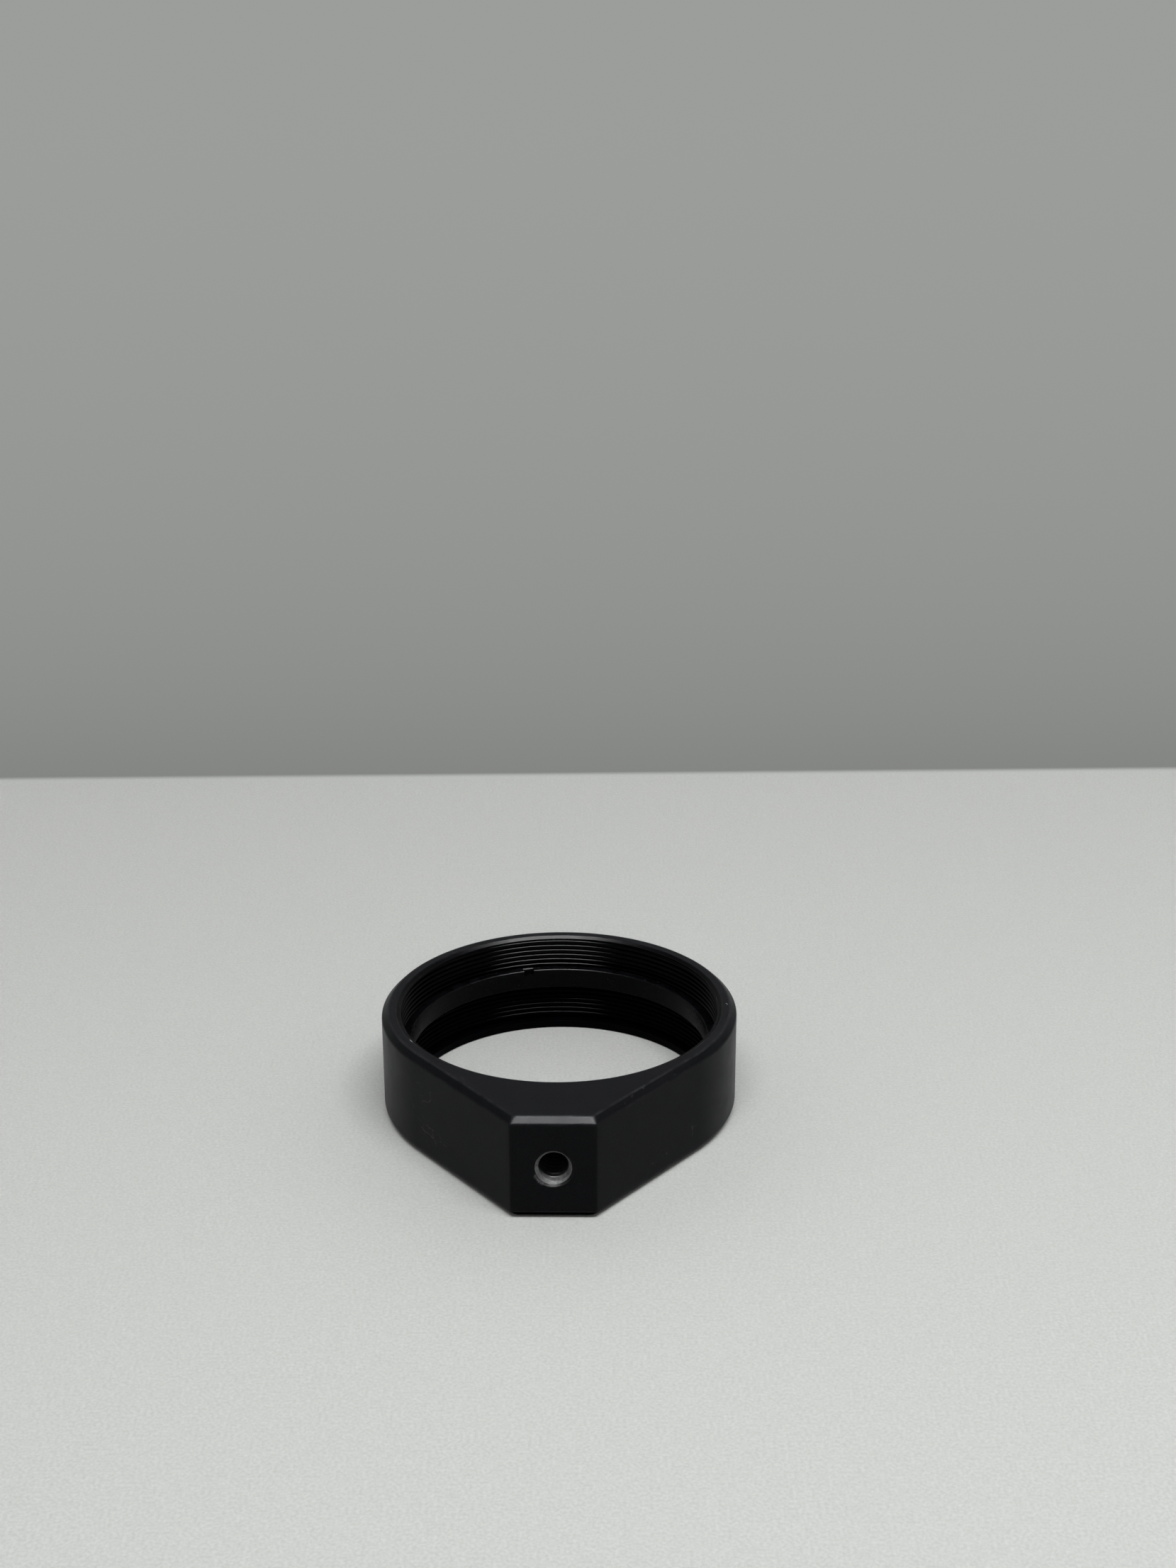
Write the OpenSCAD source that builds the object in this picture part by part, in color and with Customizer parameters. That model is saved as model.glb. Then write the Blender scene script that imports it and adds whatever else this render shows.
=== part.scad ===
// Fixed mount for a 38.1 mm round lens, lying on its back face.
// The lens drops in from the front, onto the lip at the back of the bore, and the threaded
// retaining ring is turned down on it with a spanner. The mount stands on a post that screws
// into the flat foot. Z is the optical axis, z = 0 is the back face and the foot points to -Y.

/* [Body] */
// Outside diameter of the round body
body_d = 43.18; // [42:0.02:46]
// Thickness of the body, from back face to front face
body_t = 12.7; // [10.4:0.1:16]
// Bevel round the front and back edges
edge_bevel = 0.76; // [0.2:0.02:0.9]

/* [Foot] */
// Distance from the optical axis to the flat end of the foot
foot_reach = 28.2; // [27.2:0.1:30]
// Width of the flat end, corner to corner
foot_w = 9.6; // [7:0.1:12]
// Rounding of the foot's two upright corners
foot_corner_r = 0.5; // [0.2:0.05:0.7]

/* [Bore] */
// Major diameter of the bore's thread, 1.535 in
thread_d = 38.99; // [38.9:0.01:39.1]
// Pitch of the bore's thread, 40 turns an inch
thread_pitch = 0.635; // [0.5:0.005:0.75]
// Bevel where the thread opens on the front face
mouth_bevel = 0.54; // [0.3:0.02:0.8]
// Diameter of the clear opening through the lip
lip_d = 37; // [35:0.1:37.4]
// Thickness of the lip that the lens sits on
lip_t = 1; // [0.8:0.05:1.6]
// Width of the tool relief between the lip and the thread
relief_w = 0.65; // [0.4:0.05:1]
// Edge break of the lip's opening on the back face
lip_break = 0.15; // [0.05:0.05:0.3]

/* [Post hole] */
// Tap drill diameter of the No. 8-32 post hole
tap_drill_d = 3.45; // [3.3:0.05:3.6]
// Depth of the full hole, without the drill's point
tap_depth = 6.35; // [5:0.05:7.2]
// Diameter of the countersink at the hole's mouth
tap_mouth_d = 4.65; // [4.2:0.05:4.8]
// Full angle of the countersink
tap_mouth_angle = 90; // [82, 90, 100, 120]
// Full angle of the drill's point
drill_point_angle = 118; // [118, 135]

/* [Retaining ring] */
// Inside diameter of the ring
ring_bore_d = 36.16; // [35.5:0.02:36.5]
// Thickness of the ring along the axis
ring_t = 2.54; // [2:0.02:3.2]
// Height of the ring's back face above the back face of the body
ring_z = 6.1; // [1.02:0.01:9.6]
// Running clearance between the ring's thread and the bore's, on the radius
ring_gap = 0.05; // [0.02:0.01:0.1]
// Bevel on the ring's outer edges, where its thread starts
ring_lead = 0.28; // [0.1:0.02:0.4]
// Edge break on the ring's inner edges
ring_break = 0.1; // [0.05:0.05:0.2]
// Width of the two spanner slots
slot_w = 1.3; // [1:0.05:1.8]
// Depth of the spanner slots below the ring's front face
slot_depth = 0.65; // [0.4:0.05:1]
// Length of the slots, outwards from the ring's bore
slot_reach = 0.8; // [0.6:0.05:0.9]
// Direction of the first slot, anticlockwise from +X
slot_turn = 104; // [0:1:180]

/* [Hidden] */
// Sides of every solid of revolution
round_fn = 180;

// Cutters reach this far past the faces that they cut
past = 1;
// Surfaces that run smoothly into each other cross by this much, so that they meet in one edge
hair = 0.005;
anodised = "#1c1d1f";

body_r = body_d / 2;
// The pitch line of a 60 degree thread lies this many pitches inside its major radius. Plain walls
// on the pitch line stand for the two meshing threads.
pitch_line_depth = 0.32476;
pitch_r = thread_d / 2 - pitch_line_depth * thread_pitch;
// How much deeper than the thread the relief is cut, so that the thread tool runs out in it
relief_extra = 0.05;
relief_r = thread_d / 2 + relief_extra;
mouth_r = pitch_r + mouth_bevel;
lip_r = lip_d / 2;
ring_r = pitch_r - ring_gap;
ring_bore_r = ring_bore_d / 2;

// The foot's two flanks run from the corners of its flat end, and leave the round body where
// they touch it
touch_r = body_r - hair;
corner = [foot_w / 2, -foot_reach];
// Angle at the axis between the -Y direction and the right-hand corner
corner_bearing = atan2(corner.x, -corner.y);
// Angle at the axis between the corner and the point where the flank touches
touch_bearing = acos(touch_r / norm(corner));
// Outward direction of the right-hand flank, anticlockwise from +X
flank_turn = -90 + corner_bearing + touch_bearing;

function polar(r, turn) = [r * cos(turn), r * sin(turn)];

touch = polar(touch_r, flank_turn);

// A solid of revolution about the optical axis, from its half section of [radius, height] points
module turned(section) {
    rotate_extrude($fn = round_fn)
        polygon(section);
}

// A 45 degree cutter for the edge where the front face meets a side face. The side face stands
// at the given distance from the axis, in the given direction.
module edge_cut(distance, turn) {
    cut = body_d;
    rotate([0, 0, turn])
        translate([distance + past, 0, body_t - edge_bevel - past])
            rotate([0, -45, 0])
                translate([0, -cut / 2, 0])
                    cube([cut, cut, cut]);
}

// The same cut at the front and at the back
module edge_cuts(distance, turn) {
    edge_cut(distance, turn);
    translate([0, 0, body_t])
        mirror([0, 0, 1])
            edge_cut(distance, turn);
}

// What the rounding of the right-hand upright corner takes away: the wedge outside the rounding,
// less a post of the rounding's radius. The post tapers to a point where it passes the bevels.
module corner_cut() {
    half_turn = (flank_turn + 90) / 2;
    middle = corner - polar(foot_corner_r / cos(half_turn), half_turn - 90);
    taper_z = edge_bevel;
    post_r = foot_corner_r + hair;
    difference() {
        translate([middle.x, middle.y, taper_z - foot_corner_r])
            linear_extrude(body_t - 2 * taper_z + 2 * foot_corner_r)
                polygon([
                    [0, 0],
                    polar(foot_corner_r + past, -90),
                    polar((foot_corner_r + past) / cos(half_turn), half_turn - 90),
                    polar(foot_corner_r + past, flank_turn)
                ]);
        translate([middle.x, middle.y, 0])
            turned([
                [0, taper_z - post_r],
                [post_r, taper_z],
                [post_r, body_t - taper_z],
                [0, body_t - taper_z + post_r]
            ]);
    }
}

// The foot: a block that narrows from the round body to the flat end
module foot() {
    difference() {
        linear_extrude(body_t)
            polygon([
                [0, 0], [-touch.x, touch.y], [-corner.x, corner.y], corner, touch
            ]);
        edge_cuts(foot_reach, -90);
        edge_cuts(touch_r, flank_turn);
        edge_cuts(touch_r, 180 - flank_turn);
        corner_cut();
        mirror([1, 0, 0])
            corner_cut();
    }
}

// The round part of the body, bevelled at both ends
module round_body() {
    turned([
        [0, 0],
        [body_r - edge_bevel, 0],
        [body_r, edge_bevel],
        [body_r, body_t - edge_bevel],
        [body_r - edge_bevel, body_t],
        [0, body_t]
    ]);
}

// The space in the bore: opening in the lip, lens seat, tool relief, thread and bevelled mouth
module bore_space() {
    turned([
        [0, -past],
        [lip_r + lip_break + past, -past],
        [lip_r + lip_break, 0],
        [lip_r, lip_break],
        [lip_r, lip_t],
        [relief_r, lip_t],
        [relief_r, lip_t + relief_w],
        [pitch_r, lip_t + relief_w],
        [pitch_r, body_t - mouth_bevel],
        [mouth_r, body_t],
        [mouth_r + past, body_t + past],
        [0, body_t + past]
    ]);
}

// The space in the post hole: countersunk mouth, tap drill and drill point
module post_hole_space() {
    drill_r = tap_drill_d / 2;
    mouth_hole_r = tap_mouth_d / 2;
    spread = tan(tap_mouth_angle / 2);
    mouth_depth = (mouth_hole_r - drill_r) / spread;
    point = drill_r / tan(drill_point_angle / 2);
    translate([0, -foot_reach, body_t / 2])
        rotate([-90, 0, 0])
            turned([
                [0, -past],
                [mouth_hole_r + past * spread, -past],
                [drill_r, mouth_depth],
                [drill_r, tap_depth],
                [0, tap_depth + point]
            ]);
}

module mount_body() {
    color(anodised)
        difference() {
            union() {
                round_body();
                foot();
            }
            bore_space();
            post_hole_space();
        }
}

// One spanner slot, open to the ring's bore and to its front face
module spanner_slot() {
    translate([ring_bore_r - past, -slot_w / 2, ring_t - slot_depth])
        cube([past + slot_reach, slot_w, slot_depth + past]);
}

module retaining_ring() {
    color(anodised)
        translate([0, 0, ring_z])
            difference() {
                turned([
                    [ring_bore_r, ring_break],
                    [ring_bore_r + ring_break, 0],
                    [ring_r - ring_lead, 0],
                    [ring_r, ring_lead],
                    [ring_r, ring_t - ring_lead],
                    [ring_r - ring_lead, ring_t],
                    [ring_bore_r + ring_break, ring_t],
                    [ring_bore_r, ring_t - ring_break]
                ]);
                for (side = [0, 180])
                    rotate([0, 0, slot_turn + side])
                        spanner_slot();
            }
}

mount_body();
retaining_ring();
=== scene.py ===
"""A fixed mount for a 38.1 mm round lens, finished in worn black anodising, on a pale table.

The mount lies on its back face. Z is the optical axis, z = 0 is the back face and the foot points
to -Y. Every mesh is in metres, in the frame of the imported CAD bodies.
"""

import math

import bmesh
import bpy
import numpy as np
from bpy.props import FloatProperty, FloatVectorProperty, PointerProperty
from bpy.types import Operator, Panel, PropertyGroup
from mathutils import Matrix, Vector


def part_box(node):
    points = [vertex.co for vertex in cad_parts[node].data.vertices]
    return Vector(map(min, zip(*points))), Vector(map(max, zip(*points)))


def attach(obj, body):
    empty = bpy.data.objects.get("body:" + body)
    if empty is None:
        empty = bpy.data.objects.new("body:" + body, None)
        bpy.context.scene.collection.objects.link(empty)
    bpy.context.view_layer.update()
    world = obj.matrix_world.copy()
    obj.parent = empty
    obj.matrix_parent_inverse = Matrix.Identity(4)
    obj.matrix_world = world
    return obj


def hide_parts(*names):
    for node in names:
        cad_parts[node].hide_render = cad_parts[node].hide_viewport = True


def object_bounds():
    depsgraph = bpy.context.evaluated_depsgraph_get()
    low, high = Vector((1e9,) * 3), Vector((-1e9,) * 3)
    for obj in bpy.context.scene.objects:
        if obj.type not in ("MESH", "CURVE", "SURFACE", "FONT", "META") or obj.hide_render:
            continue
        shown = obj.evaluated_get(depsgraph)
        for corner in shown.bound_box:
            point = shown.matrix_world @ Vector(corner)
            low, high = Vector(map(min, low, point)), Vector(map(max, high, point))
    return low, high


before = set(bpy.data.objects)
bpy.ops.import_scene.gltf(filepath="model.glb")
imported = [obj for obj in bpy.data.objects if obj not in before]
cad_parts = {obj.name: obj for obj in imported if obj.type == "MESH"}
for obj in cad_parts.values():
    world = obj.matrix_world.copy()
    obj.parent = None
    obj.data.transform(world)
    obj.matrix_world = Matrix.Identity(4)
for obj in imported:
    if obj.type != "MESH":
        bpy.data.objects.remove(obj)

bl_info = {
    "name": "Fixed Lens Mount",
    "version": (1, 0, 0),
    "blender": (4, 5, 0),
    "location": "3D View > Sidebar > Lens Mount",
    "description": "Builds a threaded lens mount, its retaining ring and a small studio",
    "category": "Add Mesh",
}

MM = 0.001
TURN = 2 * math.pi
ORIGIN = (0.0, 0.0, 0.0)
CAD_LOW, CAD_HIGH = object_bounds()
BODY_LOW, BODY_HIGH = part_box("mount_body")
RING_LOW, RING_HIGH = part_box("retaining_ring")


# Settings -----------------------------------------------------------------------------------------


def number(name, description, default, least=0.0, **more):
    """A plain number."""
    return FloatProperty(name=name, description=description, default=default, min=least, **more)


def length(name, description, millimetres):
    """A size, shown in the scene's unit of length."""
    return number(name, description, millimetres * MM, precision=5, unit="LENGTH")


def angle(name, description, degrees):
    """An angle, shown in degrees."""
    return number(name, description, math.radians(degrees), least=-TURN, unit="ROTATION")


def share(name, description, default):
    """A number from 0 to 1."""
    return number(name, description, default, max=1.0, subtype="FACTOR")


def triple(name, description, default, **more):
    """Three numbers that belong together."""
    return FloatVectorProperty(name=name, description=description, default=default, size=3, **more)


def colour(name, description, *default):
    """A colour, as linear red, green and blue."""
    return triple(name, description, default, min=0.0, max=1.0, subtype="COLOR")


class BodySizes(PropertyGroup):
    """The machined body, without its threads"""

    diameter: length("Diameter", "Across the round part", (BODY_HIGH.x - BODY_LOW.x) / MM)
    thickness: length("Thickness", "From back face to front face", BODY_HIGH.z / MM)
    bevel: length("Edge bevel", "Bevel round the front and back edges", 0.76)
    foot_reach: length("Foot reach", "From the optical axis to the foot's end", -BODY_LOW.y / MM)
    foot_width: length("Foot width", "Width of the flat end of the foot", 9.6)
    foot_rounding: length("Foot rounding", "Radius of the foot's two upright corners", 0.5)
    mouth_diameter: length("Mouth diameter", "Widest diameter of the bore's bevelled mouth", 39.658)
    relief_diameter: length("Relief diameter", "Diameter of the tool relief", 39.09)
    relief_width: length("Relief width", "Width of the tool relief along the axis", 0.65)
    lip_diameter: length("Lip diameter", "Clear opening through the lip", 37.0)
    lip_thickness: length("Lip thickness", "Thickness of the lip that the lens sits on", 1.0)
    lip_break: length("Lip edge break", "Edge break of the opening on the back face", 0.15)
    # Painted shade: below this height the bore gets a copy of its finish that mirrors less
    shaded_deep_below: length("Deep below", "Height below which the bore's finish is dullest", 7.4)
    edge_rounding: length("Edge rounding", "How far the sharp edges are rubbed round", 0.15)
    lower_rounding: length("Lower rounding", "The same, on the front bevel's lower edge", 0.13)
    mitre_rounding: length("Mitre rounding", "Radius where two bevels meet at the foot", 1.20)


class BoreThread(PropertyGroup):
    """The fine thread that the bore and the ring share"""

    major_diameter: length("Major diameter", "Across the thread's roots in the bore", 38.99)
    minor_diameter: length("Minor diameter", "Across the thread's crests in the bore", 38.39)
    pitch: length("Pitch", "Distance from one turn to the next, 40 turns an inch", 0.635)
    clearance: length("Clearance", "Gap between the ring's thread and the bore's", 0.03)
    rounding: length("Crest rounding", "Radius of the crests in the bore", 0.16)
    ring_rounding: length("Ring crest rounding", "Radius of the ring's crest edges", 0.03)
    ring_flat: length("Ring crest flat", "Half the width of the ring's flat crests", 0.04)
    start: share("Start", "Where on the round the thread starts, as a share of a turn", 0.70)


class RingSizes(PropertyGroup):
    """The retaining ring"""

    bore_diameter: length("Bore diameter", "Inside diameter of the ring", 36.16)
    thickness: length("Thickness", "Thickness along the axis", (RING_HIGH.z - RING_LOW.z) / MM)
    height: length("Height", "Height of its back face above the body's", RING_LOW.z / MM)
    lead: length("Lead bevel", "Bevel where the ring's thread starts", 0.28)
    edge_break: length("Edge break", "Edge break round the ring's bore", 0.08)
    slot_width: length("Slot width", "Width of the two spanner slots", 1.3)
    slot_depth: length("Slot depth", "Depth of the slots below the front face", 0.65)
    slot_reach: length("Slot reach", "Length of the slots, outwards from the bore", 0.8)
    slot_bevel: length("Slot bevel", "Bevel at the top of the slots' end walls", 0.08)
    slot_turn: angle("Slot direction", "Direction of the first slot, from +X", 104.0)
    # Painted highlight: between these angles the ring's edge is painted fully worn, where the light
    # glints on it
    glint_from: angle("Glint from", "Where the ring's edge has a painted highlight, from +X", 78.0)
    glint_to: angle("Glint to", "Where that stretch ends", 102.0)


class PostHole(PropertyGroup):
    """The tapped hole in the foot"""

    drill_diameter: length("Drill diameter", "Across the thread's crests", 3.40)
    major_diameter: length("Major diameter", "Across the roots of the No. 8-32 thread", 4.17)
    pitch: length("Pitch", "Distance from one turn to the next, 32 turns an inch", 0.79375)
    depth: length("Depth", "Depth of the full hole, without the drill's point", 6.35)
    crest_flat: length("Crest flat", "Half the width of the flat crests", 0.04)
    rounding: length("Crest rounding", "Radius of the crests' edges", 0.06)
    mouth_diameter: length("Mouth diameter", "Diameter of the countersink", 4.65)
    mouth_angle: angle("Mouth angle", "Full angle of the countersink", 90.0)
    point_angle: angle("Point angle", "Full angle of the drill's point", 118.0)
    start: share("Start", "Where on the round the thread starts, as a share of a turn", 0.3)


class Finishes(PropertyGroup):
    """Colours and gloss of the anodising, and of the bare metal under it"""

    body_black: colour("Body black", "Satin black of the body", 0.0007, 0.0008, 0.0013)
    ring_black: colour("Ring black", "Matt black of the ring", 0.0006, 0.0006, 0.0009)
    # Also the colour of the painted highlight on the ring's edge
    rubbed: colour("Rubbed edge", "Anodising rubbed thin on the edges", 0.045, 0.046, 0.050)
    # Also the colour of the painted highlights in the post hole
    bare: colour("Bare metal", "Aluminium bared by the tap", 0.62, 0.63, 0.62)
    scuffed: colour("Scuff", "Pale marks that handling has left", 0.118, 0.116, 0.128)
    outer_roughness: share("Outer roughness", "Blasted outside of the body", 0.37)
    bore_roughness: share("Bore roughness", "Turned faces of the bore", 0.14)
    ring_roughness: share("Ring roughness", "Turned faces of the ring", 0.28)
    mouth_roughness: share("Mouth roughness", "Bevel where the bore's thread opens", 0.35)
    underside_roughness: share("Underside roughness", "Bevel round the back face", 0.95)
    body_ior: number("Body IOR", "How strongly the body's finish mirrors", 1.15, least=1.0)
    ring_ior: number("Ring IOR", "How strongly the ring's finish mirrors", 1.13, least=1.0)
    # Painted shade: how little the copy of the finish deep in the bore mirrors
    deep_shade_ior: number("Deep IOR", "The same, deep in the bore", 1.07, least=1.0)
    # Painted shade: the bevel round the back face gets a copy of the finish that does not mirror
    underside_shade_ior: number("Underside IOR", "The same, round the back face", 1.0, least=1.0)
    grain: length("Grain", "Size of the anodising's fine grain", 0.16)


class Studio(PropertyGroup):
    """Table, light and camera"""

    table_colour: colour("Table", "Pale table top", 0.577, 0.591, 0.572)
    far_table_colour: colour("Far table", "How bright the far table looks", 0.53, 0.545, 0.53)
    backdrop_near_colour: colour("Near backdrop", "Grey at the table's edge", 0.229, 0.236, 0.225)
    backdrop_far_colour: colour("Far backdrop", "Grey far behind the table", 0.340, 0.349, 0.336)
    table_back: length("Table back edge", "From the optical axis to the back edge", 111.8)
    table_back_turn: angle("Back edge turn", "Direction of the table's back edge", 1.69)
    sweep_radius: length("Sweep radius", "From the mount to the foot of the backdrop", 1300.0)
    sweep_height: length("Sweep height", "Height of the backdrop", 700.0)
    lamp_place: triple(
        "Lamp place",
        "Centre of the soft box",
        (0.0507, -0.2036, 0.5192),
        subtype="TRANSLATION",
        unit="LENGTH",
    )
    lamp_width: length("Lamp width", "Long side of the soft box", 470.0)
    lamp_depth: length("Lamp depth", "Short side of the soft box", 120.0)
    lamp_turn: angle("Lamp turn", "Direction of the long side, from +X", 14.0)
    lamp_radiance: number("Lamp radiance", "Brightness of the soft box's face", 14.3)
    gloss_radiance: number("Gloss radiance", "Brightness of the soft box where it mirrors", 110.0)
    mirrored_room: number("Mirrored room", "Brightness of the room where it mirrors", 0.40)
    wall_radiance: number("Wall radiance", "Brightness of the room's walls", 0.88)
    overhead_loss: number("Overhead loss", "What the room lacks overhead", 0.63)
    back_radiance: number("Back radiance", "What the room adds behind, and lacks in front", 0.44)
    camera_lens: number("Focal length", "On a sensor 36 mm long", 52.015, least=1.0, unit="CAMERA")
    camera_place: triple(
        "Camera place",
        "Where the camera stands",
        (0.0072298, -0.2479099, 0.136878),
        precision=5,
        subtype="TRANSLATION",
        unit="LENGTH",
    )
    camera_turn: triple(
        "Camera turn",
        "Which way the camera looks",
        (1.2031939, 0.0035741, 0.0132236),
        precision=5,
        subtype="EULER",
        unit="ROTATION",
    )


class LensMountSettings(PropertyGroup):
    """Everything that the sidebar shows"""

    body: PointerProperty(type=BodySizes, name="Body", description="Sizes of the body")
    thread: PointerProperty(type=BoreThread, name="Bore thread", description="The fine thread")
    ring: PointerProperty(type=RingSizes, name="Retaining ring", description="Sizes of the ring")
    hole: PointerProperty(type=PostHole, name="Post hole", description="The tapped hole")
    finish: PointerProperty(type=Finishes, name="Finishes", description="Colours")
    studio: PointerProperty(type=Studio, name="Studio", description="Table, light and camera")


# Section rows -------------------------------------------------------------------------------------

# What a row of the body's section follows as it goes round
CIRCLE = "circle"
OUTLINE = "outline"


class Row:
    """One line round the piece: how far out it lies, how high, what it follows, how worn it is."""

    def __init__(self, out, height, follows=CIRCLE, wear=0.0):
        self.out, self.height, self.follows, self.wear = out, height, follows, wear


def eased(before, corner, after, ease, fade, wear=1.0):
    """The corner of a section, rounded over the distance ease to both sides.

    Three rows take the wear, and one on each side of them, fade further out, has none.
    """
    tip = Vector((corner.out, corner.height))
    back = (Vector((before.out, before.height)) - tip).normalized()
    on = (Vector((after.out, after.height)) - tip).normalized()
    middle, beside = (back + on) * ease / 4, wear * 0.7
    rows = [
        (tip + back * (ease + fade), 0.0),
        (tip + back * ease, beside),
        (tip + middle, wear),
        (tip + on * ease, beside),
        (tip + on * (ease + fade), 0.0),
    ]
    return [Row(place.x, place.y, corner.follows, worn) for place, worn in rows]


def walk(corners):
    """All rows of a section, from its corners: (row, ease, fade, wear), or (row,) if left plain."""
    rows = []
    for i, (corner, *rounding) in enumerate(corners):
        before, after = corners[i - 1][0], corners[(i + 1) % len(corners)][0]
        rows += eased(before, corner, after, *rounding) if rounding else [corner]
    return rows


# Nodes --------------------------------------------------------------------------------------------

# Kinds of a node group's inputs
FLOAT, VECTOR = "NodeSocketFloat", "NodeSocketVector"


def add_inputs(tree, *inputs):
    """Named inputs of a node group, each as (name, kind, default, description)."""
    for name, kind, default, description in inputs:
        socket = tree.interface.new_socket(
            name=name, in_out="INPUT", socket_type=kind, description=description
        )
        if default is not None:
            socket.default_value = default


class Nodes:
    """Adds nodes to a tree and links them."""

    def __init__(self, tree):
        self.tree = tree

    def add(self, kind, inputs=(), **settings):
        """A node of that kind. Inputs are (index or name, socket or constant)."""
        node = self.tree.nodes.new(kind)
        for name, value in settings.items():
            setattr(node, name, value)
        for key, value in inputs:
            self.put(node.inputs[key], value)
        return node

    def put(self, socket, value):
        """Joins a value to an input, or sets the input where the value is a constant."""
        if isinstance(value, bpy.types.NodeSocket):
            self.tree.links.new(value, socket)
        else:
            socket.default_value = value

    def math(self, operation, *values, clamp=False):
        """The result of one Math node."""
        inputs = enumerate(values)
        return self.add("ShaderNodeMath", inputs, operation=operation, use_clamp=clamp).outputs[0]

    # The commonest Math nodes
    def plus(self, first, second):
        return self.math("ADD", first, second)

    def minus(self, first, second):
        return self.math("SUBTRACT", first, second)

    def times(self, first, second, clamp=False):
        return self.math("MULTIPLY", first, second, clamp=clamp)

    def over(self, first, second, clamp=False):
        return self.math("DIVIDE", first, second, clamp=clamp)

    def larger(self, first, second):
        return self.math("MAXIMUM", first, second)

    def smaller(self, first, second):
        return self.math("MINIMUM", first, second)

    def distance(self, x, y):
        """How far the point x, y lies from 0, 0."""
        return self.math("SQRT", self.plus(self.times(x, x), self.times(y, y)))

    def vector(self, operation, *values):
        """The result of one Vector Math node."""
        node = self.add("ShaderNodeVectorMath", enumerate(values), operation=operation)
        wanted = "Value" if operation in ("LENGTH", "DISTANCE", "DOT_PRODUCT") else "Vector"
        return node.outputs[wanted]

    def scaled(self, vector, factor):
        """The vector or colour, times one number."""
        inputs = [(0, vector), ("Scale", factor)]
        return self.add("ShaderNodeVectorMath", inputs, operation="SCALE").outputs[0]

    def split(self, vector):
        """The three numbers of a vector."""
        return self.add("ShaderNodeSeparateXYZ", [(0, vector)]).outputs

    def ramp(self, value, low, high, out_low=0.0, out_high=1.0, smooth=False):
        """Value from low to high, brought to out_low to out_high and held there."""
        inputs = [("Value", value), ("From Min", low), ("From Max", high)]
        inputs += [("To Min", out_low), ("To Max", out_high)]
        kind = "SMOOTHSTEP" if smooth else "LINEAR"
        node = self.add("ShaderNodeMapRange", inputs, interpolation_type=kind, clamp=True)
        return node.outputs["Result"]

    def noise(self, place, size, detail=2.0, roughness=0.5):
        """Noise with features about that many metres across, from 0 to 1."""
        inputs = [("Vector", place), ("Scale", 1 / size), ("Detail", detail)]
        inputs += [("Roughness", roughness)]
        return self.add("ShaderNodeTexNoise", inputs).outputs["Fac"]

    def mix(self, factor, first, second):
        """The first colour where factor is 0, the second where it is 1."""
        node = self.add("ShaderNodeMix", data_type="RGBA")
        sockets = {socket.identifier: socket for socket in (*node.inputs, *node.outputs)}
        self.put(sockets["Factor_Float"], factor)
        for key, value in (("A_Color", first), ("B_Color", second)):
            linked = isinstance(value, bpy.types.NodeSocket)
            self.put(sockets[key], value if linked else (*value, 1.0))
        return sockets["Result_Color"]


# Threads ------------------------------------------------------------------------------------------

# From a thread's flank to the plane across its axis
FLANK = math.radians(30)


class Screw:
    """A 60 degree thread: its pitch, the radii of its crests and roots, the shape of a crest.

    flat is half the width of the flat crests and rounding the radius of their edges. start is
    where on the round the thread starts, as a share of a turn.
    """

    def __init__(self, pitch, crest, root, flat, rounding, start):
        self.pitch, self.crest, self.root = pitch, crest, root
        self.flat, self.rounding, self.start = flat, rounding, start
        self.marks = self.row_marks()
        self.turn_rows = len(self.marks)

    def row_marks(self):
        """Where the rows of one turn lie, as shares of the pitch from the middle of a crest."""
        arc_rise = self.rounding * (1 - math.sin(FLANK))
        arc_end = self.flat + self.rounding * math.cos(FLANK)
        root = arc_end + (abs(self.root - self.crest) - arc_rise) * math.tan(FLANK)
        # The crest's edge turns by 60 degrees, in four steps
        arc = [self.flat + self.rounding * math.sin(math.radians(15 * k)) for k in range(1, 5)]
        half = [place / self.pitch for place in arc + [root]]
        return [0.0] + half + [1.0 - mark for mark in reversed(half)]

    def heights(self, angles, low, high):
        """Heights of the thread's rows at each angle, held between low and high.

        The angles climb through one full turn. A row that leaves at the last angle comes back at
        the first one, as many rows further up as one turn has. Whole turns are to spare at both
        ends.
        """
        first = math.floor(low / self.pitch - self.start - angles[0] / TURN) - 2
        last = math.ceil(high / self.pitch - self.start - angles[0] / TURN) + 1
        turns = np.array([turn + mark for turn in range(first, last) for mark in self.marks])
        climbed = np.asarray(angles)[:, None] / TURN
        return np.clip(self.pitch * (turns[None, :] + self.start + climbed), low, high)


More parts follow.
